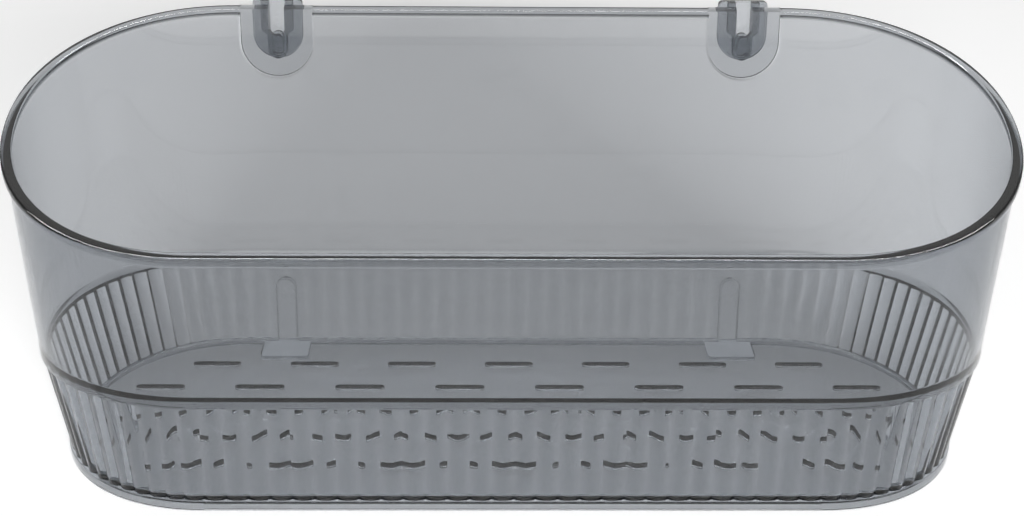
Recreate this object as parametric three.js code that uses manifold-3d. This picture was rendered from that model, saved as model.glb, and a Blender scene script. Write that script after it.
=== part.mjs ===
// Shower basket in clear smoke plastic, hung by two studs on two hooks that are glued to the wall.
// Millimetres, +Z up. +Y points at the wall, and the rim slopes down from the wall to the front.
import * as THREE from 'three';
import { mergeVertices } from 'three/addons/utils/BufferGeometryUtils.js';
import Module from 'manifold-3d';

const wasm = await Module();
wasm.setup();

// Rim: outer plan, the height of its plane at mid depth, and its slope up to the wall side
const rimHalfLength = 150;
const rimHalfDepth = 63;
const rimMidHeight = 99.1;
const rimRiseShare = 0.32;
const beadHeight = 2.4;
const beadOverhang = 1.2;
const beadRound = 0.6;

// Straight part of the front and of the wall side, and how square the round ends are (2 is an ellipse)
const straightHalfLength = 88.5;
const endSquareness = 2.1;

// Walls
const wallThickness = 2;
const edgeOverrun = 1;
const fitClearance = 0.3;

// Ledge at the foot of the smooth wall, a cove under it, and below that the wall that has flutes on
// its outer face only
const ledgeHeight = 36.9;
const ledgeEndsInset = 5.8;
const ledgeFrontInset = 2.9;
const ledgeRearInset = 1.2;
const coveLipHeight = 36.1;
const coveLipInset = 0.6;
const fluteCapHeight = 34.4;
const fluteTopHeight = 32.6;
const ledgeStep = 0.8;
const fluteDepth = 0.9;
const fluteBacking = 1.4;
const fluteBottomEndsInset = 13;
const fluteBottomFrontInset = 5.2;
const fluteBottomRearInset = 2.1;
const flutesPerSide = 28;
const flutesPerEnd = 29;

// Foot ring and floor
const footHeight = 3.2;
const footEndsInset = 12.6;
const footFrontInset = 4.8;
const footRearInset = 1.7;
const footWidth = 2.4;
const floorTop = 3.6;
const floorThickness = 2;
const floorCorner = 1.4;

// Drain slots, in rows that are staggered by half a pitch
const slotLength = 16;
const slotWidth = 3;
const slotPitch = 32.5;
const slotRowSpacing = 18.5;
const slotCounts = [7, 8, 7, 8, 7];

// Hanging pads on the wall side, each with a stud that has a neck and a wider head, and above it a
// notch through pad and rim that ends in a blunt V
const hangerSpacing = 152;
const padWidth = 23.4;
const padHeight = 23.3;
const padThickness = 2.7;
const studNeckWidth = 2.7;
const studHeadWidth = 4.4;
const studHeight = 6;
const studHeadThickness = 1.4;
const notchFootWidth = 2.2;

// Wall hook: a round ended plate with a raised funnel that the stud drops into
const hookWidth = 16.2;
const hookHeight = 19.3;
const hookPlateThickness = 2.2;
const hookRise = 1.3;
const hookCornerRadius = 1.5;
const funnelDepth = 2.2;
const funnelLipThickness = 1.2;
const funnelWidth = 10.4;
const funnelThroatWidth = 6.4;
const funnelMouthWidth = 5.2;
const funnelThroatHeight = 8.1;
const funnelTaperHeight = 1.6;
const funnelFloorHeight = 0.2;

// Adhesive pad between the hook and the wall
const adhesiveThickness = 0.6;
const adhesiveInset = 0.6;

// Round topped strips low on the wall side, where the wall steps back and has no flutes, each with a
// block under the floor
const stripWidth = 6.8;
const stripHeight = 26.3;
const stripStep = 0.8;
const stripEdge = 0.4;
const stripRoot = 1.3;
const blockWidth = 16.3;
const blockDepth = 13;
const blockCornerRadius = 2;

// Steps of the round outlines, of each flute, and of a smooth edge beside each flute
const endSteps = 24;
const fluteSteps = 4;
const seamSteps = 2;
const arcSteps = 5;

// Places that follow from the sizes above
const hangerX = hangerSpacing / 2;
const rimRearHeight = rimMidHeight + rimRiseShare * rimHalfDepth;
const hookFrontY = rimHalfDepth + fitClearance;
const hookPlateY = hookFrontY + funnelDepth;
const hookBackY = hookPlateY + hookPlateThickness;
const wallY = hookBackY + adhesiveThickness;
const hookBottomZ = rimRearHeight + hookRise - hookHeight;
const throatCentreZ = hookBottomZ + funnelFloorHeight + funnelThroatWidth / 2;
const throatTopZ = hookBottomZ + funnelThroatHeight;
const taperTopZ = throatTopZ + funnelTaperHeight;
const depthCentreY = (wallY - rimHalfDepth) / 2;

const basketMaterial = new THREE.MeshStandardMaterial({
  color: 0x84898f, roughness: 0.08, metalness: 0, transparent: true, opacity: 0.55,
});
const hookMaterial = new THREE.MeshStandardMaterial({
  color: 0x7a8087, roughness: 0.12, metalness: 0, transparent: true, opacity: 0.6,
});
const adhesiveMaterial = new THREE.MeshStandardMaterial({
  color: 0xc9cdd0, roughness: 0.35, metalness: 0, transparent: true, opacity: 0.7,
});

const rimRing = { ends: 0, front: 0, rear: 0 };
const ledgeRing = { ends: ledgeEndsInset, front: ledgeFrontInset, rear: ledgeRearInset };
const fluteTopRing = {
  ends: ledgeEndsInset + ledgeStep,
  front: ledgeFrontInset + ledgeStep,
  rear: ledgeRearInset + ledgeStep,
};
const fluteBottomRing = {
  ends: fluteBottomEndsInset, front: fluteBottomFrontInset, rear: fluteBottomRearInset,
};
const footRing = { ends: footEndsInset, front: footFrontInset, rear: footRearInset };

function rounded(value) {
  return Math.sign(value) * Math.abs(value) ** (2 / endSquareness);
}

// A ring's plan is two straight sides joined by two round ends. Its course runs from 0 to 4:
// right end, wall side, left end, front side. The offset is positive outwards.
function planPoint(ring, offset, course) {
  const side = Math.floor(course) % 4;
  const share = course - Math.floor(course);
  const centreY = (ring.front - ring.rear) / 2;
  const depth = rimHalfDepth - (ring.front + ring.rear) / 2 + offset;
  const across = straightHalfLength * (1 - 2 * share);
  if (side % 2) {
    return side === 1 ? [across, centreY + depth] : [-across, centreY - depth];
  }
  const angle = Math.PI * (share - 0.5);
  const reach = rimHalfLength - ring.ends - straightHalfLength + offset;
  const hand = side === 0 ? 1 : -1;
  return [
    hand * (straightHalfLength + reach * rounded(Math.cos(angle))),
    centreY + hand * depth * rounded(Math.sin(angle)),
  ];
}

function courses(perEnd, perSide) {
  const list = [];
  for (const side of [0, 1, 2, 3]) {
    const steps = side % 2 ? perSide : perEnd;
    for (let step = 0; step < steps; step += 1) {
      list.push(side + step / steps);
    }
  }
  return list;
}

const smoothCourses = courses(endSteps, 1);
const flutedCourses = courses(flutesPerEnd * fluteSteps, flutesPerSide * fluteSteps);
const seamCourses = courses(flutesPerEnd * seamSteps, flutesPerSide * seamSteps);
const cornerCourses = courses(flutesPerEnd, flutesPerSide);

function flatLevel(height) {
  return () => height;
}

function rimLevel(drop) {
  return (y) => rimMidHeight + rimRiseShare * y - drop;
}

function smoothRing(ring, offset, level, courseList = smoothCourses) {
  return courseList.map((course) => {
    const [x, y] = planPoint(ring, offset, course);
    return { course, point: [x, y, level(y)] };
  });
}

// Crests lie on the ring and valleys a flute depth inside it
function flutedRing(ring, offset, level) {
  return flutedCourses.map((course, index) => {
    const bulge = Math.sin(Math.PI * (index % fluteSteps) / fluteSteps);
    const [x, y] = planPoint(ring, offset - fluteDepth * (1 - bulge), course);
    return { course, point: [x, y, level(y)] };
  });
}

// The shell's rings in order: foot, outer face up to the rim, inner face down to the floor
function shellRings() {
  const fluteInner = -fluteDepth - fluteBacking;
  const fluteInnerBottom = floorTop + floorCorner;
  return [
    smoothRing(footRing, -footWidth, flatLevel(floorTop - floorThickness)),
    smoothRing(footRing, -footWidth, flatLevel(0)),
    smoothRing(footRing, 0, flatLevel(0)),
    smoothRing(footRing, 0, flatLevel(footHeight), seamCourses),
    flutedRing(fluteBottomRing, 0, flatLevel(footHeight)),
    flutedRing(fluteTopRing, 0, flatLevel(fluteTopHeight)),
    smoothRing(fluteTopRing, -fluteDepth, flatLevel(fluteCapHeight), seamCourses),
    smoothRing(ledgeRing, -coveLipInset, flatLevel(coveLipHeight), seamCourses),
    smoothRing(ledgeRing, 0, flatLevel(ledgeHeight), seamCourses),
    smoothRing(rimRing, -beadOverhang, rimLevel(beadHeight + beadRound)),
    smoothRing(rimRing, 0, rimLevel(beadHeight)),
    smoothRing(rimRing, 0, rimLevel(beadRound)),
    smoothRing(rimRing, -beadRound, rimLevel(0)),
    smoothRing(rimRing, beadRound - beadOverhang - wallThickness, rimLevel(0)),
    smoothRing(rimRing, -beadOverhang - wallThickness, rimLevel(beadRound)),
    smoothRing(ledgeRing, -wallThickness, flatLevel(ledgeHeight), seamCourses),
    smoothRing(fluteTopRing, fluteInner, flatLevel(fluteTopHeight), seamCourses),
    smoothRing(fluteBottomRing, fluteInner, flatLevel(fluteInnerBottom), seamCourses),
    smoothRing(fluteBottomRing, fluteInner - floorCorner, flatLevel(floorTop), cornerCourses),
  ];
}

// Joins two rings of any two counts, always stepping along the one that lags behind
function joinRings(lower, lowerStart, upper, upperStart, triangles) {
  let a = 0;
  let b = 0;
  const turn = 4;
  const courseOf = (ring, index) => (index < ring.length ? ring[index].course : turn);
  while (a < lower.length || b < upper.length) {
    const i = lowerStart + (a % lower.length);
    const j = upperStart + (b % upper.length);
    const stepLower = b >= upper.length
      || (a < lower.length && courseOf(lower, a + 1) <= courseOf(upper, b + 1));
    if (stepLower) {
      triangles.push(i, lowerStart + ((a + 1) % lower.length), j);
      a += 1;
    } else {
      triangles.push(i, upperStart + ((b + 1) % upper.length), j);
      b += 1;
    }
  }
}

function closeRing(ring, start, centreIndex, facesUp, triangles) {
  ring.forEach((_, index) => {
    const here = start + index;
    const next = start + ((index + 1) % ring.length);
    triangles.push(centreIndex, ...(facesUp ? [here, next] : [next, here]));
  });
}

function ringCentre(ring) {
  return [0, (ring.front - ring.rear) / 2];
}

function shellGeometry() {
  const rings = shellRings();
  const points = [];
  const starts = rings.map((ring) => {
    const start = points.length;
    ring.forEach(({ point }) => points.push(point));
    return start;
  });
  const triangles = [];
  for (let index = 0; index + 1 < rings.length; index += 1) {
    joinRings(rings[index], starts[index], rings[index + 1], starts[index + 1], triangles);
  }
  const last = rings.length - 1;
  points.push([...ringCentre(footRing), floorTop - floorThickness]);
  closeRing(rings[0], starts[0], points.length - 1, false, triangles);
  points.push([...ringCentre(fluteBottomRing), floorTop]);
  closeRing(rings[last], starts[last], points.length - 1, true, triangles);
  const geometry = new THREE.BufferGeometry();
  geometry.setAttribute('position', new THREE.Float32BufferAttribute(points.flat(), 3));
  geometry.setIndex(triangles);
  return geometry;
}

function toSolid(geometry) {
  const bare = geometry.clone();
  bare.deleteAttribute('normal');
  bare.deleteAttribute('uv');
  const merged = mergeVertices(bare);
  return new wasm.Manifold(new wasm.Mesh({
    numProp: 3,
    vertProperties: new Float32Array(merged.attributes.position.array),
    triVerts: new Uint32Array(merged.index.array),
  }));
}

function toGeometry(solid) {
  const mesh = solid.getMesh();
  const geometry = new THREE.BufferGeometry();
  geometry.setAttribute('position', new THREE.BufferAttribute(mesh.vertProperties, 3));
  geometry.setIndex(new THREE.BufferAttribute(mesh.triVerts, 1));
  return geometry;
}

function unite(solids) {
  return solids.reduce((whole, next) => whole.add(next));
}

function cut(solid, cutters) {
  return cutters.reduce((rest, cutter) => rest.subtract(cutter), solid);
}

function extrude(shape, depth) {
  return new THREE.ExtrudeGeometry(shape, { depth, bevelEnabled: false, curveSegments: arcSteps });
}

// An outline drawn as seen from the front, made into a plate between two depths
function uprightPlate(shape, frontY, backY) {
  const geometry = extrude(shape, backY - frontY);
  geometry.rotateX(Math.PI / 2);
  geometry.translate(0, backY, 0);
  return toSolid(geometry);
}

// A round bottomed outline whose top is straight
function roundFootShape(centreX, halfWidth, bottom, top) {
  const arcCentre = bottom + halfWidth;
  const shape = new THREE.Shape();
  shape.moveTo(centreX + halfWidth, top);
  shape.lineTo(centreX - halfWidth, top);
  shape.absarc(centreX, arcCentre, halfWidth, Math.PI, 2 * Math.PI, false);
  return shape;
}

// An upright outline with two round ends
function pillShape(centreX, halfWidth, lowCentre, highCentre) {
  const shape = new THREE.Shape();
  shape.absarc(centreX, lowCentre, halfWidth, Math.PI, 2 * Math.PI, false);
  shape.absarc(centreX, highCentre, halfWidth, 0, Math.PI, false);
  return shape;
}

function slotShape() {
  const radius = slotWidth / 2;
  const half = slotLength / 2 - radius;
  const shape = new THREE.Shape();
  shape.absarc(half, 0, radius, -Math.PI / 2, Math.PI / 2, false);
  shape.absarc(-half, 0, radius, Math.PI / 2, 3 * Math.PI / 2, false);
  return shape;
}

function slotCutters() {
  const [, centreY] = ringCentre(fluteBottomRing);
  const single = extrude(slotShape(), floorThickness + 2 * edgeOverrun);
  const bottom = floorTop - floorThickness - edgeOverrun;
  return slotCounts.flatMap((count, row) => {
    const y = centreY + slotRowSpacing * ((slotCounts.length - 1) / 2 - row);
    return Array.from({ length: count }, (_, column) => {
      const x = slotPitch * (column - (count - 1) / 2);
      return toSolid(single.clone().translate(x, y, bottom));
    });
  });
}

// Everything above the sloping rim plane, as deep and as high as the basket
function aboveRim() {
  const front = rimLevel(0)(-rimHalfDepth - edgeOverrun);
  const rear = rimLevel(0)(wallY);
  const shape = new THREE.Shape();
  shape.moveTo(-rimHalfDepth - edgeOverrun, front);
  shape.lineTo(wallY, rear);
  shape.lineTo(wallY, rear + rimMidHeight);
  shape.lineTo(-rimHalfDepth - edgeOverrun, rear + rimMidHeight);
  const geometry = extrude(shape, 2 * rimHalfLength);
  const axes = new THREE.Matrix4().makeBasis(
    new THREE.Vector3(0, 1, 0), new THREE.Vector3(0, 0, 1), new THREE.Vector3(1, 0, 0),
  );
  geometry.applyMatrix4(axes);
  geometry.translate(-rimHalfLength, 0, 0);
  return toSolid(geometry);
}

function padShape(x) {
  return roundFootShape(x, padWidth / 2, rimRearHeight - padHeight, rimRearHeight + padHeight);
}

function hangingPad(x) {
  return uprightPlate(padShape(x), rimHalfDepth - padThickness, rimHalfDepth).subtract(aboveRim());
}

function padRecess(x) {
  const inner = rimHalfDepth - padThickness;
  return uprightPlate(padShape(x), inner - padThickness, inner);
}

function hangingStud(x) {
  const lipBackY = hookFrontY + funnelLipThickness;
  const headFrontY = lipBackY + fitClearance;
  const highCentre = throatCentreZ + studHeight - studNeckWidth;
  const neck = pillShape(x, studNeckWidth / 2, throatCentreZ, highCentre);
  const head = pillShape(x, studHeadWidth / 2, throatCentreZ, highCentre);
  return unite([
    uprightPlate(neck, rimHalfDepth - padThickness / 2, headFrontY + studHeadThickness / 2),
    uprightPlate(head, headFrontY, headFrontY + studHeadThickness),
  ]);
}

function padNotch(x) {
  const half = funnelMouthWidth / 2;
  const footHalf = notchFootWidth / 2;
  const top = rimRearHeight + edgeOverrun;
  const shape = new THREE.Shape();
  shape.moveTo(x - footHalf, throatTopZ + fitClearance);
  shape.lineTo(x + footHalf, throatTopZ + fitClearance);
  shape.lineTo(x + half, taperTopZ + fitClearance);
  shape.lineTo(x + half, top);
  shape.lineTo(x - half, top);
  shape.lineTo(x - half, taperTopZ + fitClearance);
  const wallFrontY = rimHalfDepth - beadOverhang - wallThickness;
  return uprightPlate(shape, wallFrontY - edgeOverrun, rimHalfDepth + fitClearance / 2);
}

function stripShape(x, inset, bottom) {
  const half = stripWidth / 2 - inset;
  const shape = new THREE.Shape();
  shape.moveTo(x - half, bottom);
  shape.lineTo(x + half, bottom);
  shape.absarc(x, stripHeight - inset - half, half, 0, Math.PI, false);
  return shape;
}

function wallStrip(x) {
  const rearCrestY = rimHalfDepth - fluteBottomRearInset;
  return uprightPlate(stripShape(x, 0, 0), rearCrestY - stripRoot, rearCrestY + stripStep);
}

function stripHollow(x) {
  const rearCrestY = rimHalfDepth - fluteBottomRearInset;
  const frontY = rearCrestY - fluteDepth - fluteBacking - floorCorner - edgeOverrun;
  const backY = rearCrestY + stripStep - wallThickness;
  return uprightPlate(stripShape(x, stripEdge, floorTop), frontY, backY);
}

function footBlock(x) {
  const half = blockWidth / 2;
  const rear = rimHalfDepth - footRearInset - footWidth / 2;
  const front = rear - footWidth / 2 - blockDepth;
  const radius = blockCornerRadius;
  const shape = new THREE.Shape();
  shape.moveTo(x + half, rear);
  shape.lineTo(x - half, rear);
  shape.absarc(x - half + radius, front + radius, radius, Math.PI, 3 * Math.PI / 2, false);
  shape.absarc(x + half - radius, front + radius, radius, -Math.PI / 2, 0, false);
  return toSolid(extrude(shape, floorTop - floorThickness / 2));
}

function basketGeometry() {
  const sides = [-hangerX, hangerX];
  const shell = toSolid(shellGeometry());
  const padded = cut(unite([shell, ...sides.map(hangingPad)]), sides.map(padRecess));
  const whole = unite([
    padded, ...sides.map(hangingStud), ...sides.map(wallStrip), ...sides.map(footBlock),
  ]);
  const cutters = [...slotCutters(), ...sides.map(padNotch), ...sides.map(stripHollow)];
  return toGeometry(cut(whole, cutters));
}

function hookPlateShape(inset) {
  const half = hookWidth / 2 - inset;
  const top = hookBottomZ + hookHeight - inset;
  const shape = new THREE.Shape();
  shape.absarc(0, hookBottomZ + hookWidth / 2, half, Math.PI, 2 * Math.PI, false);
  shape.absarc(half - hookCornerRadius, top - hookCornerRadius, hookCornerRadius, 0, Math.PI / 2, false);
  shape.absarc(
    hookCornerRadius - half, top - hookCornerRadius, hookCornerRadius, Math.PI / 2, Math.PI, false,
  );
  return shape;
}

// The funnel's outline: a round throat below, a taper, and a wider mouth that is open at the top
function funnelShape(throatHalf, mouthHalf, top) {
  const shape = new THREE.Shape();
  shape.absarc(0, throatCentreZ, throatHalf, Math.PI, 2 * Math.PI, false);
  shape.lineTo(throatHalf, throatTopZ);
  shape.lineTo(mouthHalf, taperTopZ);
  shape.lineTo(mouthHalf, top);
  shape.lineTo(-mouthHalf, top);
  shape.lineTo(-mouthHalf, taperTopZ);
  shape.lineTo(-throatHalf, throatTopZ);
  return shape;
}

function hookGeometry() {
  const top = hookBottomZ + hookHeight;
  const headHalf = studHeadWidth / 2 + fitClearance;
  const neckHalf = studNeckWidth / 2 + fitClearance;
  const mouthHalf = funnelMouthWidth / 2;
  const lipBackY = hookFrontY + funnelLipThickness;
  const pocketBackY = lipBackY + studHeadThickness + 2 * fitClearance;
  const plate = uprightPlate(hookPlateShape(0), hookPlateY, hookBackY);
  const funnel = uprightPlate(
    funnelShape(funnelThroatWidth / 2, funnelWidth / 2, top), hookFrontY, hookPlateY,
  );
  const neckWay = uprightPlate(
    funnelShape(neckHalf, mouthHalf, top + edgeOverrun), hookFrontY - edgeOverrun, lipBackY,
  );
  const headWay = uprightPlate(
    funnelShape(headHalf, mouthHalf, top + edgeOverrun), lipBackY - fitClearance / 2, pocketBackY,
  );
  return toGeometry(cut(plate.add(funnel), [neckWay, headWay]));
}

function adhesiveGeometry() {
  return toGeometry(uprightPlate(hookPlateShape(adhesiveInset), hookBackY, wallY));
}

function addPiece(parent, name, geometry, material, x) {
  const mesh = new THREE.Mesh(geometry, material.clone());
  mesh.name = name;
  mesh.position.x = x;
  parent.add(mesh);
}

const shelf = new THREE.Group();
shelf.name = 'shower_basket';
shelf.position.y = -depthCentreY;
addPiece(shelf, 'basket', basketGeometry(), basketMaterial, 0);
for (const [side, x] of [['left', -hangerX], ['right', hangerX]]) {
  addPiece(shelf, `wall_hook_${side}`, hookGeometry(), hookMaterial, x);
  addPiece(shelf, `adhesive_pad_${side}`, adhesiveGeometry(), adhesiveMaterial, x);
}

export default shelf;
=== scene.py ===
"""Clear smoke plastic shower basket with two glued wall hooks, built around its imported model."""

import logging
import math
from collections.abc import Callable, Iterable, Sequence
from dataclasses import dataclass, field
from enum import Enum

import bmesh
import bpy
from mathutils import Matrix, Vector


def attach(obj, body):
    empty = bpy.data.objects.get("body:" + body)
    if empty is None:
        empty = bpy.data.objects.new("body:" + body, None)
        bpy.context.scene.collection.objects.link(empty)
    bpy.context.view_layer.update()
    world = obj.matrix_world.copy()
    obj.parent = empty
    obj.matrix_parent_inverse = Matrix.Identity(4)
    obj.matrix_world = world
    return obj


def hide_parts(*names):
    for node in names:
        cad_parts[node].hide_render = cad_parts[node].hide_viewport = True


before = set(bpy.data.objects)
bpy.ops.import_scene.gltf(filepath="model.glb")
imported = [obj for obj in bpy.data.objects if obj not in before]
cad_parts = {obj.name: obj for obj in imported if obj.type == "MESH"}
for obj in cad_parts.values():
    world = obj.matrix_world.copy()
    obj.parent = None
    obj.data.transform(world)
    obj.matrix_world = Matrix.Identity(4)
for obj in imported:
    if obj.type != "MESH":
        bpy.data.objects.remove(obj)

LOG = logging.getLogger("shower_basket")
MM = 0.001
HAIR = 0.02 * MM
PAST = 1 * MM
SHARP_ANGLE = 32.0
SQUARE = 1 - 1e-7

# An eased edge has a middle row that lies this share of the easing in from the corner.
SOFT = 0.3
# A quarter round has this many steps.
QUARTER_STEPS = 4

Point = tuple[float, float, float]
FlatPoint = tuple[float, float]
Layer = tuple[float, float]


class Join(Enum):
    """How one body is joined to another."""

    ADD = "UNION"
    CUT = "DIFFERENCE"


class Side(Enum):
    """The two hanging points, each with the sign of its place along X."""

    LEFT = -1
    RIGHT = 1


# Meshes


def new_object(name: str, bm: bmesh.types.BMesh) -> bpy.types.Object:
    """Turns a bmesh into an object at the origin.

    Args:
        name: The object's name.
        bm: The finished mesh, which is freed.

    Returns:
        The new object, linked to the scene.
    """
    mesh = bpy.data.meshes.new(name)
    bm.to_mesh(mesh)
    bm.free()
    obj = bpy.data.objects.new(name, mesh)
    bpy.context.scene.collection.objects.link(obj)
    return obj


def loft(rows: Sequence[Sequence[Point]]) -> bmesh.types.BMesh:
    """Makes a closed body from rows of points that each run once round it.

    Args:
        rows: Rows of equally many points, from the first end to the last.

    Returns:
        A closed bmesh whose faces point outwards.
    """
    bm = bmesh.new()
    count = len(rows[0])
    ring = bmesh.ops.create_circle(bm, segments=count, radius=1.0)["verts"]
    bm.verts.ensure_lookup_table()
    ring.sort(key=lambda vert: vert.index)
    for vert, point in zip(ring, rows[0]):
        vert.co = point
    edges = [bm.edges.get((ring[i], ring[(i + 1) % count])) for i in range(count)]
    bmesh.ops.edgeloop_fill(bm, edges=edges)
    for row in rows[1:]:
        made = bmesh.ops.extrude_edge_only(bm, edges=edges)["geom"]
        fresh = {item for item in made if isinstance(item, bmesh.types.BMVert)}
        after = []
        for vert in ring:
            others = [edge.other_vert(vert) for edge in vert.link_edges]
            after.append(next(other for other in others if other in fresh))
        for vert, point in zip(after, row):
            vert.co = point
        ring = after
        edges = [bm.edges.get((ring[i], ring[(i + 1) % count])) for i in range(count)]
    bmesh.ops.edgeloop_fill(bm, edges=edges)
    bmesh.ops.recalc_face_normals(bm, faces=bm.faces)
    return bm


def outline_solid(
    outline: Sequence[FlatPoint],
    layers: Sequence[Layer],
    place: Callable[[float, float, float], Point],
) -> bmesh.types.BMesh:
    """Makes a prism from an outline, with its edges eased by insets at some depths.

    Args:
        outline: Points of the outline, anticlockwise.
        layers: Pairs of depth and inset, from the first face to the last.
        place: Turns an outline point and a depth into a point of the frame.

    Returns:
        The closed prism.
    """
    rows = []
    for depth, inset in layers:
        rows.append([place(u, v, depth) for u, v in inset_outline(outline, inset)])
    return loft(rows)


def inset_outline(outline: Sequence[FlatPoint], inset: float) -> list[FlatPoint]:
    """Moves each point of an outline inwards along the bisector at that point.

    Args:
        outline: Points of the outline, anticlockwise.
        inset: Distance inwards.

    Returns:
        The moved points.
    """
    if not inset:
        return list(outline)
    points = [Vector(point) for point in outline]
    moved = []
    for i, point in enumerate(points):
        before = (point - points[i - 1]).normalized()
        after = (points[(i + 1) % len(points)] - point).normalized()
        normal = Vector((-before.y - after.y, before.x + after.x))
        reach = inset * 2 / max(normal.length_squared, 1.0)
        moved.append(tuple(point + normal * reach))
    return moved


def arc(centre: FlatPoint, radius: float, start: float, end: float, steps: int) -> list[FlatPoint]:
    """Lists the points of a circular arc, both ends included.

    Args:
        centre: The arc's centre.
        radius: Its radius.
        start: First angle in degrees.
        end: Last angle in degrees.
        steps: Number of steps.

    Returns:
        The points in order.
    """
    points = []
    for step in range(steps + 1):
        angle = math.radians(start + (end - start) * step / steps)
        points.append((centre[0] + radius * math.cos(angle), centre[1] + radius * math.sin(angle)))
    return points


def quarter_round(radius: float) -> list[tuple[float, float]]:
    """Lists how far a quarter round lies in from its corner, from one face to the other.

    Args:
        radius: Its radius.

    Returns:
        Pairs of the distance in from the first face and in from the second.
    """
    pairs = []
    for step in range(QUARTER_STEPS + 1):
        turn = math.radians(90 * step / QUARTER_STEPS)
        pairs.append((radius * (1 - math.cos(turn)), radius * (1 - math.sin(turn))))
    return pairs


def join(target: bpy.types.Object, tool: bpy.types.Object, how: Join) -> None:
    """Joins or cuts one closed body with another and keeps the result in the first.

    Args:
        target: The body that is changed.
        tool: The body that is added or taken away, and then removed.
        how: Whether it is added or taken away.
    """
    modifier = target.modifiers.new("join", "BOOLEAN")
    modifier.operation = how.value
    modifier.solver = "MANIFOLD"
    modifier.object = tool
    bpy.context.view_layer.update()
    graph = bpy.context.evaluated_depsgraph_get()
    mesh = bpy.data.meshes.new_from_object(target.evaluated_get(graph))
    target.modifiers.clear()
    old = target.data
    target.data = mesh
    mesh.name = target.name
    bpy.data.meshes.remove(old)
    bpy.data.objects.remove(tool)


def gather(name: str, parts: Iterable[bmesh.types.BMesh]) -> bpy.types.Object:
    """Puts several separate closed bodies into one object.

    Args:
        name: The object's name.
        parts: The bodies, which are freed.

    Returns:
        The object that holds them all.
    """
    whole = bmesh.new()
    for part in parts:
        mesh = bpy.data.meshes.new("part")
        part.to_mesh(mesh)
        part.free()
        whole.from_mesh(mesh)
        bpy.data.meshes.remove(mesh)
    return new_object(name, whole)


def smooth(obj: bpy.types.Object) -> None:
    """Shades an object smooth, but keeps sharp edges and level or upright flat faces as they are.

    Args:
        obj: The object.
    """
    mesh = obj.data
    mesh.shade_smooth()
    mesh.set_sharp_from_angle(angle=math.radians(SHARP_ANGLE))
    for face in mesh.polygons:
        normal = face.normal
        if abs(normal.z) > SQUARE or abs(normal.y) > SQUARE:
            face.use_smooth = False


# Finishes

WAVE_SCALE = 26.0
FLOW_SCALE = 240.0
FLOW_STRETCH = (1.0, 1.0, 0.12)
FLOW_SHARE = 0.035
MARK_SCALE = 60.0
MARK_ROUGHNESS = 0.7
MARK_RANGE = (0.56, 0.74)
CLEAN_TINT = (0.985, 0.99, 1.0, 1.0)
SMUDGED_TINT = (0.955, 0.962, 0.972, 1.0)


def noise(nodes: bpy.types.Nodes, scale: float, detail: float, roughness: float = 0.5) -> bpy.types.Node:
    """Adds a noise texture.

    Args:
        nodes: The nodes that it joins.
        scale: Its scale.
        detail: Its detail.
        roughness: Its roughness.

    Returns:
        The noise node.
    """
    node = nodes.new("ShaderNodeTexNoise")
    node.inputs["Scale"].default_value = scale
    node.inputs["Detail"].default_value = detail
    node.inputs["Roughness"].default_value = roughness
    return node


@dataclass(frozen=True)
class ClearPlastic:
    """A clear moulded plastic with a tint through its whole thickness."""

    name: str
    tint: tuple[float, float, float]
    density: float
    roughness: float
    wave_height: float
    smudge: float = 0.06
    ior: float = 1.53

    def build(self, groups: "SurfaceGroups") -> bpy.types.Material:
        """Builds the material.

        Args:
            groups: The shared surface detail.

        Returns:
            The material.
        """
        material = bpy.data.materials.new(self.name)
        material.use_nodes = True
        nodes, links = material.node_tree.nodes, material.node_tree.links
        nodes.clear()
        out = nodes.new("ShaderNodeOutputMaterial")
        shader = nodes.new("ShaderNodeBsdfPrincipled")
        shader.inputs["Base Color"].default_value = (1.0, 1.0, 1.0, 1.0)
        shader.inputs["IOR"].default_value = self.ior
        shader.inputs["Transmission Weight"].default_value = 1.0
        coordinates = nodes.new("ShaderNodeTexCoord")
        surface = nodes.new("ShaderNodeGroup")
        surface.node_tree = groups.moulded
        surface.inputs["Roughness"].default_value = self.roughness
        surface.inputs["Smudge"].default_value = self.smudge
        bump = nodes.new("ShaderNodeBump")
        bump.inputs["Distance"].default_value = self.wave_height
        bump.inputs["Strength"].default_value = 1.0
        absorption = nodes.new("ShaderNodeVolumeAbsorption")
        absorption.inputs["Color"].default_value = (*self.tint, 1.0)
        absorption.inputs["Density"].default_value = self.density
        links.new(coordinates.outputs["Object"], surface.inputs["Vector"])
        links.new(surface.outputs["Roughness"], shader.inputs["Roughness"])
        links.new(surface.outputs["Tint"], shader.inputs["Base Color"])
        links.new(surface.outputs["Height"], bump.inputs["Height"])
        links.new(bump.outputs["Normal"], shader.inputs["Normal"])
        links.new(shader.outputs["BSDF"], out.inputs["Surface"])
        links.new(absorption.outputs["Volume"], out.inputs["Volume"])
        return material


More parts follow.
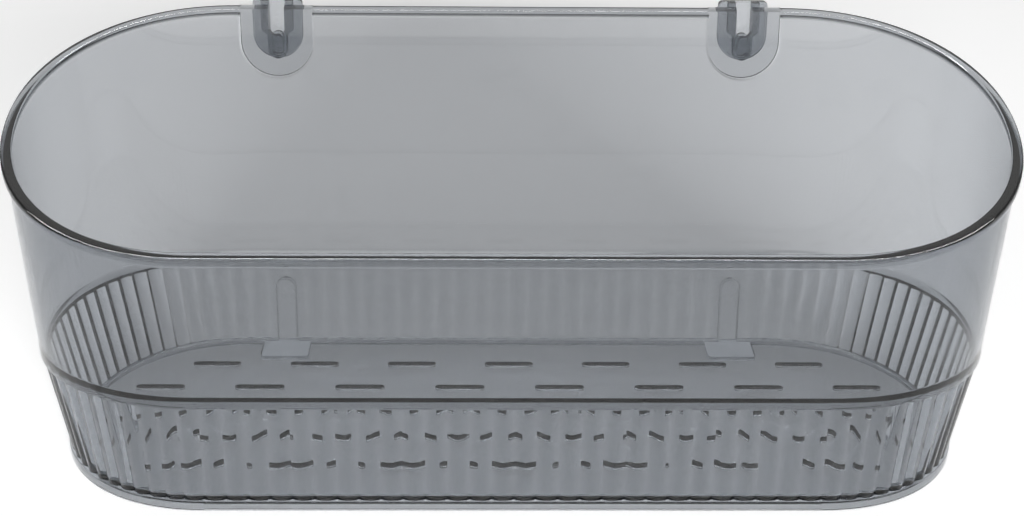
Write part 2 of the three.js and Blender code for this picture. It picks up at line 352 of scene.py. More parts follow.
class SurfaceGroups:
    """Shader node groups that more than one finish uses."""

    def __init__(self) -> None:
        """Builds the groups once."""
        self.moulded = self._moulded()

    @staticmethod
    def _moulded() -> bpy.types.NodeTree:
        """Makes the surface of a moulding: slow waves, faint flow lines and handling marks.

        Returns:
            The group, with Height, Roughness and Tint as outputs.
        """
        tree = bpy.data.node_groups.new("moulded_surface", "ShaderNodeTree")
        face = tree.interface
        face.new_socket("Vector", in_out="INPUT", socket_type="NodeSocketVector")
        rough = face.new_socket("Roughness", in_out="INPUT", socket_type="NodeSocketFloat")
        rough.default_value = 0.03
        smudge = face.new_socket("Smudge", in_out="INPUT", socket_type="NodeSocketFloat")
        smudge.default_value = 0.05
        face.new_socket("Height", in_out="OUTPUT", socket_type="NodeSocketFloat")
        face.new_socket("Roughness", in_out="OUTPUT", socket_type="NodeSocketFloat")
        face.new_socket("Tint", in_out="OUTPUT", socket_type="NodeSocketColor")
        nodes, links = tree.nodes, tree.links
        given = nodes.new("NodeGroupInput")
        result = nodes.new("NodeGroupOutput")

        waves = noise(nodes, scale=WAVE_SCALE, detail=1.0)
        links.new(given.outputs["Vector"], waves.inputs["Vector"])

        stretch = nodes.new("ShaderNodeMapping")
        stretch.inputs["Scale"].default_value = FLOW_STRETCH
        links.new(given.outputs["Vector"], stretch.inputs["Vector"])
        flow = noise(nodes, scale=FLOW_SCALE, detail=2.0)
        links.new(stretch.outputs["Vector"], flow.inputs["Vector"])
        height = nodes.new("ShaderNodeMath")
        height.operation = "MULTIPLY_ADD"
        height.inputs[1].default_value = FLOW_SHARE
        links.new(flow.outputs["Fac"], height.inputs[0])
        links.new(waves.outputs["Fac"], height.inputs[2])
        links.new(height.outputs["Value"], result.inputs["Height"])

        marks = noise(nodes, scale=MARK_SCALE, detail=4.0, roughness=MARK_ROUGHNESS)
        links.new(given.outputs["Vector"], marks.inputs["Vector"])
        patch = nodes.new("ShaderNodeMapRange")
        patch.inputs["From Min"].default_value, patch.inputs["From Max"].default_value = MARK_RANGE
        links.new(marks.outputs["Fac"], patch.inputs["Value"])
        dull = nodes.new("ShaderNodeMath")
        dull.operation = "MULTIPLY_ADD"
        links.new(patch.outputs["Result"], dull.inputs[0])
        links.new(given.outputs["Smudge"], dull.inputs[1])
        links.new(given.outputs["Roughness"], dull.inputs[2])
        links.new(dull.outputs["Value"], result.inputs["Roughness"])

        tint = nodes.new("ShaderNodeMix")
        tint.data_type = "RGBA"
        tint.inputs["A"].default_value = CLEAN_TINT
        tint.inputs["B"].default_value = SMUDGED_TINT
        links.new(patch.outputs["Result"], tint.inputs["Factor"])
        links.new(tint.outputs["Result"], result.inputs["Tint"])
        return tree


SMOKE_TINT = (0.44, 0.47, 0.505)
GLUE_TINT = (0.9, 0.92, 0.92)
SMOKE = ClearPlastic("smoke_plastic", SMOKE_TINT, 420.0, roughness=0.02, wave_height=0.008 * MM)
HOOK_SMOKE = ClearPlastic("hook_smoke_plastic", SMOKE_TINT, 560.0, roughness=0.05, wave_height=0.008 * MM)
GLUE = ClearPlastic("clear_glue", GLUE_TINT, 300.0, roughness=0.22, wave_height=0.05 * MM, ior=1.45)


# Basket


@dataclass(frozen=True)
class Ring:
    """How far a plan outline lies inside the rim at the ends, the front and the wall side."""

    ends: float
    front: float
    rear: float


@dataclass
class Basket:
    """The one piece moulding: foot, flutes, ledge, wall, rim, floor, hanging pads and strips."""

    half_length: float = 150 * MM
    half_depth: float = 63 * MM
    straight_half: float = 88.5 * MM
    squareness: float = 2.1
    rim_middle: float = 99.1 * MM
    rim_rise: float = 0.32
    bead_height: float = 2.4 * MM
    bead_overhang: float = 1.2 * MM
    bead_round: float = 0.6 * MM
    wall: float = 2 * MM
    ledge_height: float = 36.9 * MM
    ledge_foot: float = 32.9 * MM
    inner_step_top: float = 36.1 * MM
    inner_step_foot: float = 34.3 * MM
    flute_top: float = 32.6 * MM
    flute_depth: float = 0.9 * MM
    flute_backing: float = 1.4 * MM
    flutes_side: int = 28
    flutes_end: int = 29
    flute_steps: int = 8
    foot_height: float = 3.2 * MM
    foot_width: float = 2.4 * MM
    floor_top: float = 3.6 * MM
    floor_thickness: float = 2 * MM
    floor_corner: float = 1.4 * MM
    slot_length: float = 16 * MM
    slot_width: float = 3 * MM
    slot_pitch: float = 32.5 * MM
    slot_row_spacing: float = 18.5 * MM
    slot_counts: tuple[int, ...] = (7, 8, 7, 8, 7)
    wall_plane: float = 68.3 * MM
    shift: float = 2.65 * MM
    rim: Ring = Ring(0.0, 0.0, 0.0)
    ledge: Ring = Ring(5.8 * MM, 2.9 * MM, 1.2 * MM)
    flutes_upper: Ring = Ring(6.6 * MM, 3.7 * MM, 2.0 * MM)
    flutes_lower: Ring = Ring(13 * MM, 5.2 * MM, 2.1 * MM)
    foot: Ring = Ring(12.6 * MM, 4.8 * MM, 1.7 * MM)
    ease: float = 0.35 * MM
    support: float = 1.05 * MM
    bead_cove: float = 0.84 * MM
    bead_slope: tuple[float, float] = (0.08 * MM, 0.35 * MM)
    flute_shares: tuple[float, ...] = (0.04, 0.5, 0.96)
    flute_fade: float = 0.3
    kink: float = 0.01
    slot_ease: float = 0.12 * MM
    slot_end_steps: int = 8
    hanger: "Hanger" = field(default_factory=lambda: Hanger())

    def plan(self, ring: Ring, offset: float, course: float) -> tuple[float, float]:
        """Finds a point of a plan outline.

        Args:
            ring: The outline.
            offset: Distance outwards from it.
            course: Place along it, from 0 to 4: right end, wall side, left end, front.

        Returns:
            X and Y, before the shift to the frame's middle.
        """
        side = int(course) % 4
        share = course - int(course)
        middle = (ring.front - ring.rear) / 2
        depth = self.half_depth - (ring.front + ring.rear) / 2 + offset
        across = self.straight_half * (1 - 2 * share)
        if side == 1:
            return across, middle + depth
        if side == 3:
            return -across, middle - depth
        angle = math.pi * (share - 0.5)
        reach = self.half_length - ring.ends - self.straight_half + offset
        hand = 1 if side == 0 else -1
        return (
            hand * (self.straight_half + reach * self.rounded(math.cos(angle))),
            middle + hand * depth * self.rounded(math.sin(angle)),
        )

    def rounded(self, value: float) -> float:
        """Bends a sine or cosine towards the outline's squareness."""
        return math.copysign(abs(value) ** (2 / self.squareness), value)

    def rim_level(self, drop: float) -> Callable[[float], float]:
        """Gives the height at a depth of a plane that lies below the rim by a drop."""
        return lambda y: self.rim_middle + self.rim_rise * y - drop

    def row(
        self,
        ring: Ring,
        offset: float,
        level: float | Callable[[float], float],
        flute: float = 0.0,
    ) -> list[Point]:
        """Lists the points of one row round the basket.

        Args:
            ring: The plan outline.
            offset: Distance outwards from it.
            level: A height, or a function that gives it from the depth.
            flute: Share of the full flute depth.

        Returns:
            The points.
        """
        points = []
        for side, flutes in enumerate((self.flutes_end, self.flutes_side) * 2):
            steps = flutes * self.flute_steps
            for step in range(steps):
                bulge = math.sin(math.pi * (step % self.flute_steps) / self.flute_steps)
                inward = flute * self.flute_depth * (1 - bulge)
                x, y = self.plan(ring, offset - inward, side + step / steps)
                height = level(y) if callable(level) else level
                points.append((x, y - self.shift, height))
        return points

    @staticmethod
    def between(low: Ring, high: Ring, share: float) -> Ring:
        """Finds the outline part of the way from one to another.

        Args:
            low: The first outline.
            high: The second outline.
            share: How far it lies on the way.

        Returns:
            The outline.
        """
        return Ring(
            low.ends + (high.ends - low.ends) * share,
            low.front + (high.front - low.front) * share,
            low.rear + (high.rear - low.rear) * share,
        )

    @staticmethod
    def climb(start: Sequence[Point], end: Sequence[Point], rise: float) -> list[Point]:
        """Lists the points that lie a height above or below a row, on the way to another.

        Args:
            start: The row that the height counts from.
            end: The row that the points lie towards.
            rise: The height between them and the first row.

        Returns:
            The points.
        """
        points = []
        for low, high in zip(start, end):
            share = rise / abs(high[2] - low[2])
            points.append(tuple(Vector(low).lerp(Vector(high), share)))
        return points

    def shell_rows(self) -> list[list[Point]]:
        """Lists all rows of the shell, from the floor's underside over the rim to the floor's top.

        Returns:
            The rows.
        """
        ease = self.ease
        soft = SOFT * ease
        underside = self.floor_top - self.floor_thickness
        inner_foot = -self.foot_width
        rows = [
            self.row(self.foot, inner_foot - ease, underside),
            self.row(self.foot, inner_foot - soft, underside - soft),
            self.row(self.foot, inner_foot, underside - ease),
            self.row(self.foot, inner_foot, ease),
            self.row(self.foot, inner_foot + soft, soft),
            self.row(self.foot, inner_foot + ease, 0.0),
            self.row(self.foot, -ease, 0.0),
            self.row(self.foot, -soft, soft),
            self.row(self.foot, 0.0, ease),
            self.row(self.foot, 0.0, self.foot_height - ease),
            self.row(self.foot, -soft, self.foot_height - soft),
            self.row(self.foot, -ease, self.foot_height),
            self.row(self.flutes_lower, 0.0, self.foot_height + HAIR, 1.0),
        ]
        rise = self.flute_top - self.foot_height
        for share in self.flute_shares:
            ring = self.between(self.flutes_lower, self.flutes_upper, share)
            rows.append(self.row(ring, 0.0, self.foot_height + rise * share, 1.0))
        rows += [
            self.row(self.flutes_upper, 0.0, self.flute_top, 1.0),
            self.row(self.ledge, -ease, self.ledge_foot, self.flute_fade),
            self.row(self.ledge, -soft, self.ledge_foot + soft),
            self.row(self.ledge, 0.0, self.ledge_foot + ease),
            self.row(self.ledge, 0.0, self.ledge_height - ease),
            self.row(self.ledge, 0.0, self.ledge_height),
        ]
        outer = -self.bead_overhang
        bead_foot = self.bead_height
        wall_top = self.row(self.rim, outer, self.rim_level(bead_foot + self.bead_cove))
        rows += [
            self.climb(rows[-1], wall_top, ease),
            self.climb(rows[-1], wall_top, self.support),
            self.climb(wall_top, rows[-1], self.support),
            self.climb(wall_top, rows[-1], ease),
            wall_top,
            self.row(self.rim, outer + self.bead_slope[0], self.rim_level(bead_foot + self.bead_round)),
            self.row(self.rim, outer + self.bead_slope[1], self.rim_level(bead_foot + self.bead_round / 2)),
            self.row(self.rim, -ease, self.rim_level(bead_foot)),
            self.row(self.rim, -soft, self.rim_level(bead_foot - soft)),
            self.row(self.rim, 0.0, self.rim_level(bead_foot - ease)),
        ]
        for back, drop in quarter_round(self.bead_round):
            rows.append(self.row(self.rim, -back, self.rim_level(drop)))
        inner = outer - self.wall
        for drop, back in quarter_round(self.bead_round):
            rows.append(self.row(self.rim, inner + back, self.rim_level(drop)))
        wall_foot = self.row(self.ledge, -self.wall, self.inner_step_top + soft)
        rows += [
            self.climb(rows[-1], wall_foot, ease),
            self.climb(rows[-1], wall_foot, self.support),
            self.climb(wall_foot, rows[-1], self.support),
            self.climb(wall_foot, rows[-1], ease),
            wall_foot,
            self.row(self.ledge, -self.wall - soft, self.inner_step_top),
        ]
        inner = self.flute_depth + self.flute_backing
        base = self.floor_top + self.floor_corner
        below_top = self.between(self.flutes_upper, self.flutes_lower, self.kink)
        above_base = self.between(self.flutes_lower, self.flutes_upper, self.kink)
        rows += [
            self.row(self.flutes_upper, soft - inner, self.inner_step_foot),
            self.row(self.flutes_upper, -inner, self.inner_step_foot - ease),
            self.row(self.flutes_upper, -inner, self.flute_top),
            self.row(below_top, -inner, self.flute_top - ease),
            self.row(above_base, -inner, base + ease),
        ]
        for inset, level in quarter_round(self.floor_corner):
            rows.append(self.row(self.flutes_lower, -inner - inset, self.floor_top + level))
        rows.append(self.row(self.flutes_lower, -inner - self.floor_corner - ease, self.floor_top))
        return rows

    def slot_cutter(self, x: float, y: float) -> bmesh.types.BMesh:
        """Makes the body that a drain slot leaves open, with its edges eased.

        Args:
            x: The slot's middle.
            y: The slot's middle, in the frame.

        Returns:
            The body.
        """
        radius = self.slot_width / 2
        half = self.slot_length / 2 - radius
        outline = arc((half, 0.0), radius, -90, 90, self.slot_end_steps)
        outline += arc((-half, 0.0), radius, 90, 270, self.slot_end_steps)
        ease = self.slot_ease
        past = PAST / 2
        low, high = self.floor_top - self.floor_thickness, self.floor_top
        layers = [
            (low - past, -ease - past),
            (low, -ease),
            (low + SOFT * ease, -SOFT * ease),
            (low + ease, 0.0),
            (high - ease, 0.0),
            (high - SOFT * ease, -SOFT * ease),
            (high, -ease),
            (high + past, -ease - past),
        ]
        return outline_solid(outline, layers, lambda u, v, depth: (x + u, y + v, depth))

    def slots(self) -> list[bmesh.types.BMesh]:
        """Makes the cutters of all drain slots.

        Returns:
            The cutters.
        """
        middle = (self.flutes_lower.front - self.flutes_lower.rear) / 2 - self.shift
        bodies = []
        for row, count in enumerate(self.slot_counts):
            y = middle + self.slot_row_spacing * ((len(self.slot_counts) - 1) / 2 - row)
            for column in range(count):
                bodies.append(self.slot_cutter(self.slot_pitch * (column - (count - 1) / 2), y))
        return bodies

    def build(self) -> bpy.types.Object:
        """Builds the whole moulding.

        Returns:
            The object.
        """
        basket = new_object("basket_moulding", loft(self.shell_rows()))
        hanger = self.hanger
        join(basket, gather("pads", [hanger.pad(self, side) for side in Side]), Join.ADD)
        join(basket, gather("recesses", [hanger.recess(self, side) for side in Side]), Join.CUT)
        join(basket, gather("necks", [hanger.stud_neck(self, side) for side in Side]), Join.ADD)
        join(basket, gather("heads", [hanger.stud_head(self, side) for side in Side]), Join.ADD)
        join(basket, gather("strips", [hanger.strip(self, side) for side in Side]), Join.ADD)
        join(basket, gather("blocks", [hanger.foot_block(self, side) for side in Side]), Join.ADD)
        notches = [hanger.notch(self, side) for side in Side]
        hollows = [hanger.strip_hollow(self, side) for side in Side]
        join(basket, gather("cutters", self.slots() + notches + hollows), Join.CUT)
        smooth(basket)
        return basket


@dataclass
class Hanger:
    """What the basket has on each side: pad, stud and notch at the rim, strip and block at the foot."""

    spacing: float = 152 * MM
    pad_width: float = 23.4 * MM
    pad_height: float = 23.3 * MM
    pad_thickness: float = 2.7 * MM
    neck_width: float = 2.7 * MM
    head_width: float = 4.4 * MM
    stud_height: float = 6 * MM
    head_thickness: float = 1.4 * MM
    notch_foot: float = 2.2 * MM
    strip_width: float = 6.8 * MM
    strip_height: float = 26.3 * MM
    strip_step: float = 0.8 * MM
    strip_edge: float = 0.4 * MM
    strip_root: float = 1.3 * MM
    block_width: float = 16.3 * MM
    block_depth: float = 13 * MM
    block_corner: float = 2 * MM
    clearance: float = 0.3 * MM
    hook_width: float = 16.2 * MM
    hook_height: float = 19.3 * MM
    hook_rise: float = 1.3 * MM
    hook_plate: float = 2.2 * MM
    hook_corner: float = 1.5 * MM
    funnel_depth: float = 2.2 * MM
    funnel_lip: float = 1.2 * MM
    funnel_width: float = 10.4 * MM
    throat_width: float = 6.4 * MM
    mouth_width: float = 5.2 * MM
    throat_height: float = 8.1 * MM
    taper_height: float = 1.6 * MM
    throat_floor: float = 0.2 * MM
    glue_inset: float = 0.6 * MM
    glue_ease: float = 0.05 * MM
    ease: float = 0.25 * MM
    pill_steps: int = 12
    pad_steps: int = 40
    funnel_steps: int = 20
    hook_steps: int = 32
    corner_steps: int = 8

    def x(self, side: Side) -> float:
        """Gives the side's place along X."""
        return side.value * self.spacing / 2

    def rim_rear(self, basket: Basket) -> float:
        """Gives the rim's height at the wall side."""
        return basket.rim_middle + basket.rim_rise * basket.half_depth

    def hook_bottom(self, basket: Basket) -> float:
        """Gives the height of the hooks' lower end."""
        return self.rim_rear(basket) + self.hook_rise - self.hook_height

    def throat_centre(self, basket: Basket) -> float:
        """Gives the height of the throat's round foot."""
        return self.hook_bottom(basket) + self.throat_floor + self.throat_width / 2

    @staticmethod
    def upright(outline: Sequence[FlatPoint], layers: Sequence[Layer], shift: float) -> bmesh.types.BMesh:
        """Makes a plate that stands upright, from an outline seen from the front.

        Args:
            outline: Points of X and Z, anticlockwise from the front.
            layers: Pairs of Y and inset, before the shift to the frame's middle.
            shift: That shift.

        Returns:
            The plate.
        """
        return outline_solid(outline, layers, lambda u, v, depth: (u, depth - shift, v))

    def eased(self, front: float, back: float) -> list[Layer]:
        """Lists the layers of a plate whose front and back edges are both eased.

        Args:
            front: The plate's front.
            back: Its back.

        Returns:
            Pairs of Y and inset.
        """
        soft = SOFT * self.ease
        return [
            (front, self.ease),
            (front + soft, soft),
            (front + self.ease, 0.0),
            (back - self.ease, 0.0),
            (back - soft, soft),
            (back, self.ease),
        ]

    def closed_back(self, front: float, back: float) -> list[Layer]:
        """Lists the layers of a plate whose back edge alone is eased.

        Args:
            front: The plate's front.
            back: Its back.

        Returns:
            Pairs of Y and inset.
        """
        soft = SOFT * self.ease
        return [(front, 0.0), (back - self.ease, 0.0), (back - soft, soft), (back, self.ease)]

    def pill(self, x: float, half: float, low: float, high: float) -> list[FlatPoint]:
        """Lists an upright outline with two round ends."""
        steps = self.pill_steps
        return arc((x, high), half, 0, 180, steps) + arc((x, low), half, 180, 360, steps)

    def pad_outline(self, basket: Basket, side: Side, top: float) -> list[FlatPoint]:
        """Lists the outline of a pad: straight sides and a round foot.

        Args:
            basket: The basket.
            side: Which pad.
            top: The height of its top.

        Returns:
            The points, anticlockwise.
        """
        half = self.pad_width / 2
        low = self.rim_rear(basket) - self.pad_height + half
        x = self.x(side)
        return [(x + half, top), (x - half, top)] + arc((x, low), half, 180, 360, self.pad_steps)

    def pad(self, basket: Basket, side: Side) -> bmesh.types.BMesh:
        """Makes a hanging pad, level with the rim at its top.

        Args:
            basket: The basket.
            side: Which pad.

        Returns:
            The pad.
        """
        back = basket.half_depth
        outline = self.pad_outline(basket, side, self.rim_rear(basket) + 3 * self.pad_thickness)
        layers = self.closed_back(back - self.pad_thickness, back)
        body = self.upright(outline, layers, basket.shift)
        normal = Vector((0, -basket.rim_rise, 1)).normalized()
        point = Vector((0, -basket.shift, basket.rim_middle))
        whole = body.verts[:] + body.edges[:] + body.faces[:]
        bmesh.ops.bisect_plane(body, geom=whole, plane_co=point, plane_no=normal, clear_outer=True)
        open_edges = [edge for edge in body.edges if edge.is_boundary]
        bmesh.ops.edgeloop_fill(body, edges=open_edges)
        bmesh.ops.recalc_face_normals(body, faces=body.faces)
        return body

    def recess(self, basket: Basket, side: Side) -> bmesh.types.BMesh:
        """Makes the shallow recess on the basket's side of a pad.

        Args:
            basket: The basket.
            side: Which pad.

        Returns:
            The recess.
        """
        inner = basket.half_depth - self.pad_thickness
        outline = self.pad_outline(basket, side, self.rim_rear(basket) + self.pad_height)
        layers = [(inner - self.pad_thickness, -self.pad_thickness), (inner, 0.0)]
        return self.upright(outline, layers, basket.shift)

    def stud_neck(self, basket: Basket, side: Side) -> bmesh.types.BMesh:
        """Makes a stud's neck.

        Args:
            basket: The basket.
            side: Which stud.

        Returns:
            The neck.
        """
        centre = self.throat_centre(basket)
        high = centre + self.stud_height - self.neck_width
        back = self.head_front(basket) + self.head_thickness / 2
        outline = self.pill(self.x(side), self.neck_width / 2, centre, high)
        front = basket.half_depth - self.pad_thickness / 2
        return self.upright(outline, [(front, 0.0), (back, 0.0)], basket.shift)

    def head_front(self, basket: Basket) -> float:
        """Gives the front of the studs' heads."""
        return basket.half_depth + self.clearance + self.funnel_lip + self.clearance

    def stud_head(self, basket: Basket, side: Side) -> bmesh.types.BMesh:
        """Makes a stud's head, with eased edges.

        Args:
            basket: The basket.
            side: Which stud.

        Returns:
            The head.
        """
        centre = self.throat_centre(basket)
        high = centre + self.stud_height - self.neck_width
        front = self.head_front(basket)
        outline = self.pill(self.x(side), self.head_width / 2, centre, high)
        return self.upright(outline, self.eased(front, front + self.head_thickness), basket.shift)

    def strip_outline(self, side: Side, inset: float, bottom: float) -> list[FlatPoint]:
        """Lists a strip's outline: straight sides and a round top.

        Args:
            side: Which strip.
            inset: How far the outline lies inside the strip's edge.
            bottom: The height of its foot.

        Returns:
            The points, anticlockwise.
        """
        half = self.strip_width / 2 - inset
        x = self.x(side)
        crown = arc((x, self.strip_height - inset - half), half, 0, 180, self.funnel_steps)
        return [(x - half, bottom), (x + half, bottom)] + crown

    def strip(self, basket: Basket, side: Side) -> bmesh.types.BMesh:
        """Makes a strip that stands a little proud of the flutes on the wall side.

        Args:
            basket: The basket.
            side: Which strip.

        Returns:
            The strip.
        """
        crest = basket.half_depth - basket.flutes_lower.rear
        layers = self.closed_back(crest - self.strip_root, crest + self.strip_step)
        return self.upright(self.strip_outline(side, 0.0, 0.0), layers, basket.shift)

    def strip_hollow(self, basket: Basket, side: Side) -> bmesh.types.BMesh:
        """Makes the hollow in front of a strip, which leaves the wall as thick as elsewhere.

        Args:
            basket: The basket.
            side: Which strip.

        Returns:
            The hollow.
        """
        crest = basket.half_depth - basket.flutes_lower.rear
        front = crest - basket.flute_depth - basket.flute_backing - basket.floor_corner - PAST
        layers = self.closed_back(front, crest + self.strip_step - basket.wall)
        outline = self.strip_outline(side, self.strip_edge, basket.floor_top)
        return self.upright(outline, layers, basket.shift)

    def foot_block(self, basket: Basket, side: Side) -> bmesh.types.BMesh:
        """Makes the block under the floor at a strip's foot.

        Args:
            basket: The basket.
            side: Which strip.

        Returns:
            The block.
        """
        half = self.block_width / 2
        x = self.x(side)
        rear = basket.half_depth - basket.foot.rear - basket.foot_width / 2
        front = rear - basket.foot_width / 2 - self.block_depth
        corner = self.block_corner
        outline = [(x + half, rear), (x - half, rear)]
        outline += arc((x - half + corner, front + corner), corner, 180, 270, self.corner_steps)
        outline += arc((x + half - corner, front + corner), corner, 270, 360, self.corner_steps)
        top = basket.floor_top - basket.floor_thickness / 2
        soft = SOFT * self.ease
        layers = [(0.0, self.ease), (soft, soft), (self.ease, 0.0), (top, 0.0)]
        return outline_solid(outline, layers, lambda u, v, depth: (u, v - basket.shift, depth))

    def notch(self, basket: Basket, side: Side) -> bmesh.types.BMesh:
        """Makes the notch through pad and rim above a stud.

        Args:
            basket: The basket.
            side: Which notch.

        Returns:
            The notch.
        """
        x = self.x(side)
        low = self.hook_bottom(basket) + self.throat_height + self.clearance
        taper = low + self.taper_height
        top = self.rim_rear(basket) + self.pad_thickness
        half, foot = self.mouth_width / 2, self.notch_foot / 2
        outline = [(x - foot, low), (x + foot, low), (x + half, taper)]
        outline += [(x + half, top), (x - half, top), (x - half, taper)]
        front = basket.half_depth - basket.bead_overhang - basket.wall - PAST
        back = basket.half_depth + self.clearance / 2
        return self.upright(outline, [(front, 0.0), (back, 0.0)], basket.shift)

    def funnel_outline(
        self,
        basket: Basket,
        side: Side,
        throat: float,
        mouth: float,
        top: float,
    ) -> list[FlatPoint]:
        """Lists the funnel's outline: round throat, taper and wider mouth.

        Args:
            basket: The basket.
            side: Which hook.
            throat: Half the throat's width.
            mouth: Half the mouth's width.
            top: The height of its top.

        Returns:
            The points, anticlockwise.
        """
        x = self.x(side)
        throat_top = self.hook_bottom(basket) + self.throat_height
        taper_top = throat_top + self.taper_height
        outline = arc((x, self.throat_centre(basket)), throat, 180, 360, self.funnel_steps)
        outline += [(x + throat, throat_top), (x + mouth, taper_top), (x + mouth, top)]
        outline += [(x - mouth, top), (x - mouth, taper_top), (x - throat, throat_top)]
        return outline

    def hook_outline(self, basket: Basket, side: Side, inset: float) -> list[FlatPoint]:
        """Lists the hook plate's outline: round foot and small top corners.

        Args:
            basket: The basket.
            side: Which hook.
            inset: How far the outline lies inside the plate's edge.

        Returns:
            The points, anticlockwise.
        """
        x = self.x(side)
        half = self.hook_width / 2 - inset
        bottom = self.hook_bottom(basket)
        top = bottom + self.hook_height - inset
        corner = self.hook_corner
        outline = arc((x, bottom + self.hook_width / 2), half, 180, 360, self.hook_steps)
        outline += arc((x + half - corner, top - corner), corner, 0, 90, self.corner_steps)
        outline += arc((x - half + corner, top - corner), corner, 90, 180, self.corner_steps)
        return outline

    def build_hook(self, basket: Basket, side: Side) -> bpy.types.Object:
        """Builds one wall hook.

        Args:
            basket: The basket that it carries.
            side: Which hook.

        Returns:
            The object.
        """
        front = basket.half_depth + self.clearance
        plate_front = front + self.funnel_depth
        back = plate_front + self.hook_plate
        top = self.hook_bottom(basket) + self.hook_height
        beyond = top + PAST
        lip_back = front + self.funnel_lip
        pocket_back = lip_back + self.head_thickness + 2 * self.clearance
        hook = new_object(
            f"hook_{side.name.lower()}",
            self.upright(self.hook_outline(basket, side, 0.0), self.eased(plate_front, back), basket.shift),
        )
        soft = SOFT * self.ease
        funnel = self.funnel_outline(basket, side, self.throat_width / 2, self.funnel_width / 2, top - soft)
        layers = [(front, self.ease), (front + soft, soft), (front + self.ease, 0.0)]
        layers.append((plate_front + self.hook_plate / 2, 0.0))
        join(hook, new_object("funnel", self.upright(funnel, layers, basket.shift)), Join.ADD)
        neck = self.neck_width / 2 + self.clearance
        way = self.funnel_outline(basket, side, neck, self.mouth_width / 2, beyond)
        layers = [(front - PAST, -self.ease), (front, -self.ease)]
        layers += [(front + self.ease, 0.0), (lip_back, 0.0)]
        join(hook, new_object("neck_way", self.upright(way, layers, basket.shift)), Join.CUT)
        head = self.head_width / 2 + self.clearance
        way = self.funnel_outline(basket, side, head, self.mouth_width / 2 + HAIR / 2, beyond)
        layers = [(lip_back - self.clearance / 2, 0.0), (pocket_back, 0.0)]
        join(hook, new_object("head_way", self.upright(way, layers, basket.shift)), Join.CUT)
        smooth(hook)
        return hook

    def build_glue_pad(self, basket: Basket, side: Side) -> bpy.types.Object:
        """Builds the glue pad behind a hook.

        Args:
            basket: The basket.
            side: Which hook.

        Returns:
            The object.
        """
        front = basket.half_depth + self.clearance + self.funnel_depth + self.hook_plate + HAIR
        back = basket.wall_plane
        outline = self.hook_outline(basket, side, self.glue_inset)
        layers = [(front, 0.0), (back - self.glue_ease, 0.0), (back, self.glue_ease)]
        pad = new_object(f"glue_pad_{side.name.lower()}", self.upright(outline, layers, basket.shift))
        smooth(pad)
        return pad


# Studio


@dataclass(frozen=True)
class Softbox:
    """One soft lamp, and whether walls, mirrors and glass see it."""

    name: str
    place: Point
    size: tuple[float, float]
    power: float
    diffuse: bool = True
    glossy: bool = True
    transmission: bool = True
    target: Point = (0.0, 0.0, 0.05)

    def build(self) -> None:
        """Hangs the lamp and points it at the basket."""
        data = bpy.data.lights.new(self.name, "AREA")
        data.shape = "RECTANGLE"
        data.size, data.size_y = self.size
        data.energy = self.power
        lamp = bpy.data.objects.new(self.name, data)
        bpy.context.scene.collection.objects.link(lamp)
        lamp.location = self.place
        aim = Vector(self.target) - Vector(self.place)
        lamp.rotation_euler = aim.to_track_quat("-Z", "Y").to_euler()
        lamp.visible_diffuse = self.diffuse
        lamp.visible_glossy = self.glossy
        lamp.visible_transmission = self.transmission


LAMPS = (
    Softbox("key_softbox", (0.4, -4.65, 1.06), (2.8, 0.5), 620.0, glossy=False, transmission=False),
    Softbox("front_softbox", (-0.5, -2.2, 1.5), (1.6, 0.8), 9.0),
    Softbox("top_softbox", (0.0, 1.0, 1.6), (2.0, 1.0), 3.0),
    Softbox("edge_strip", (0.0, 0.2, 1.3), (2.4, 0.3), 40.0, diffuse=False, transmission=False),
)


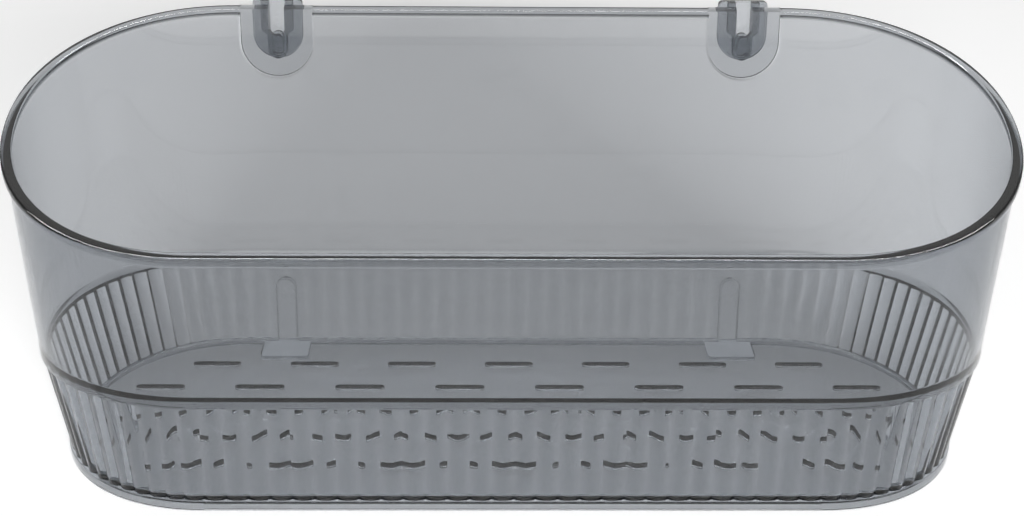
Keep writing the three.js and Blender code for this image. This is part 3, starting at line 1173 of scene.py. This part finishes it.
@dataclass(frozen=True)
class Studio:
    """Pale floor, soft lights, white surroundings and the camera."""

    camera_place: Point = (-0.0101, -0.51985, 0.2529)
    camera_right: Point = (0.99983, -0.01597, 0.00909)
    camera_up: Point = (-0.00261, 0.36644, 0.93044)
    focal_length: float = 63.71
    sensor_width: float = 36.0
    clip: tuple[float, float] = (0.01, 50.0)
    shift_up: float = 0.0190
    floor_size: float = 16.0
    ambient: float = 0.16
    ceiling: float = 0.42
    backdrop_rise: tuple[float, float] = (0.10, 0.28)
    floor_grey: float = 0.8
    floor_glow: float = 0.38

    def camera(self) -> bpy.types.Object:
        """Places the camera where the photograph was taken from.

        Returns:
            The camera.
        """
        data = bpy.data.cameras.new("camera")
        data.lens = self.focal_length
        data.sensor_width = self.sensor_width
        data.sensor_fit = "HORIZONTAL"
        data.shift_y = self.shift_up
        data.clip_start, data.clip_end = self.clip
        camera = bpy.data.objects.new("camera", data)
        bpy.context.scene.collection.objects.link(camera)
        right, up = Vector(self.camera_right), Vector(self.camera_up)
        back = right.cross(up)
        turn = Matrix((right, up, back)).transposed().to_4x4()
        camera.matrix_world = Matrix.Translation(self.camera_place) @ turn
        bpy.context.scene.camera = camera
        return camera

    def floor(self) -> bpy.types.Object:
        """Lays the pale floor.

        Returns:
            The floor.
        """
        bm = bmesh.new()
        bmesh.ops.create_grid(bm, x_segments=1, y_segments=1, size=self.floor_size / 2)
        floor = new_object("studio_floor", bm)
        floor.data.materials.append(self.floor_material())
        return floor

    def floor_material(self) -> bpy.types.Material:
        """Makes the floor's white, which is seen a little brighter than the lamps make it.

        Returns:
            The material.
        """
        material = bpy.data.materials.new("floor_white")
        material.use_nodes = True
        nodes, links = material.node_tree.nodes, material.node_tree.links
        nodes.clear()
        out = nodes.new("ShaderNodeOutputMaterial")
        paint = nodes.new("ShaderNodeBsdfDiffuse")
        paint.inputs["Color"].default_value = (self.floor_grey, self.floor_grey, self.floor_grey, 1.0)
        glow = nodes.new("ShaderNodeEmission")
        glow.inputs["Color"].default_value = (1.0, 1.0, 1.0, 1.0)
        strength = nodes.new("ShaderNodeMath")
        strength.operation = "MULTIPLY"
        strength.inputs[1].default_value = self.floor_glow
        links.new(self.seen(nodes, links), strength.inputs[0])
        links.new(strength.outputs["Value"], glow.inputs["Strength"])
        both = nodes.new("ShaderNodeAddShader")
        links.new(paint.outputs["BSDF"], both.inputs[0])
        links.new(glow.outputs["Emission"], both.inputs[1])
        links.new(both.outputs["Shader"], out.inputs["Surface"])
        return material

    @staticmethod
    def seen(nodes: bpy.types.Nodes, links: bpy.types.NodeLinks) -> bpy.types.NodeSocket:
        """Adds nodes that are 1 for camera, glossy and transmission rays.

        Args:
            nodes: The material's nodes.
            links: Its links.

        Returns:
            The socket.
        """
        path = nodes.new("ShaderNodeLightPath")
        first = nodes.new("ShaderNodeMath")
        first.operation = "MAXIMUM"
        links.new(path.outputs["Is Camera Ray"], first.inputs[0])
        links.new(path.outputs["Is Glossy Ray"], first.inputs[1])
        second = nodes.new("ShaderNodeMath")
        second.operation = "MAXIMUM"
        links.new(first.outputs["Value"], second.inputs[0])
        links.new(path.outputs["Is Transmission Ray"], second.inputs[1])
        return second.outputs["Value"]

    def world(self) -> None:
        """Makes the room: white to the camera, a white backdrop under a grey ceiling to the plastic."""
        world = bpy.data.worlds.new("studio_white")
        world.use_nodes = True
        bpy.context.scene.world = world
        nodes, links = world.node_tree.nodes, world.node_tree.links
        nodes.clear()
        out = nodes.new("ShaderNodeOutputWorld")
        light = nodes.new("ShaderNodeBackground")
        light.inputs["Strength"].default_value = self.ambient
        white = nodes.new("ShaderNodeBackground")
        white.inputs["Strength"].default_value = 1.0
        room = nodes.new("ShaderNodeBackground")
        place = nodes.new("ShaderNodeTexCoord")
        split = nodes.new("ShaderNodeSeparateXYZ")
        height = nodes.new("ShaderNodeMapRange")
        height.interpolation_type = "SMOOTHSTEP"
        height.inputs["From Min"].default_value = self.backdrop_rise[0]
        height.inputs["From Max"].default_value = self.backdrop_rise[1]
        height.inputs["To Min"].default_value = 1.0
        height.inputs["To Max"].default_value = self.ceiling
        path = nodes.new("ShaderNodeLightPath")
        links.new(place.outputs["Generated"], split.inputs["Vector"])
        links.new(split.outputs["Z"], height.inputs["Value"])
        links.new(height.outputs["Result"], room.inputs["Strength"])
        seen = nodes.new("ShaderNodeMixShader")
        links.new(self.seen(nodes, links), seen.inputs["Fac"])
        links.new(light.outputs["Background"], seen.inputs[1])
        links.new(room.outputs["Background"], seen.inputs[2])
        mix = nodes.new("ShaderNodeMixShader")
        links.new(path.outputs["Is Camera Ray"], mix.inputs["Fac"])
        links.new(seen.outputs["Shader"], mix.inputs[1])
        links.new(white.outputs["Background"], mix.inputs[2])
        links.new(mix.outputs["Shader"], out.inputs["Surface"])

    def build(self) -> None:
        """Builds the whole studio."""
        self.camera()
        self.floor()
        self.world()
        for lamp in LAMPS:
            lamp.build()


# Assembly


def dress(obj: bpy.types.Object, material: bpy.types.Material, body: str, node: str) -> None:
    """Gives a piece its finish and its body, and hides the imported node that it stands for.

    Args:
        obj: The piece.
        material: Its finish.
        body: The body that it rides on.
        node: The node that it replaces.
    """
    obj.data.materials.clear()
    obj.data.materials.append(material)
    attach(obj, body)
    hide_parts(node)
    LOG.info("%s: %d faces, rides on %s", obj.name, len(obj.data.polygons), body)


def main() -> None:
    logging.basicConfig(level=logging.INFO, format="%(name)s: %(message)s")
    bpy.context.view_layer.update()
    bpy.context.scene.view_settings.view_transform = "Standard"
    Studio().build()
    groups = SurfaceGroups()
    smoke, hook_smoke, glue = (finish.build(groups) for finish in (SMOKE, HOOK_SMOKE, GLUE))

    basket = Basket()
    dress(basket.build(), smoke, "basket", "basket")
    for side in Side:
        name = side.name.lower()
        hook = basket.hanger.build_hook(basket, side)
        dress(hook, hook_smoke, f"hook_{name}", f"wall_hook_{name}")
        pad = basket.hanger.build_glue_pad(basket, side)
        dress(pad, glue, f"hook_{name}", f"adhesive_pad_{name}")


if __name__ == "__main__":
    main()
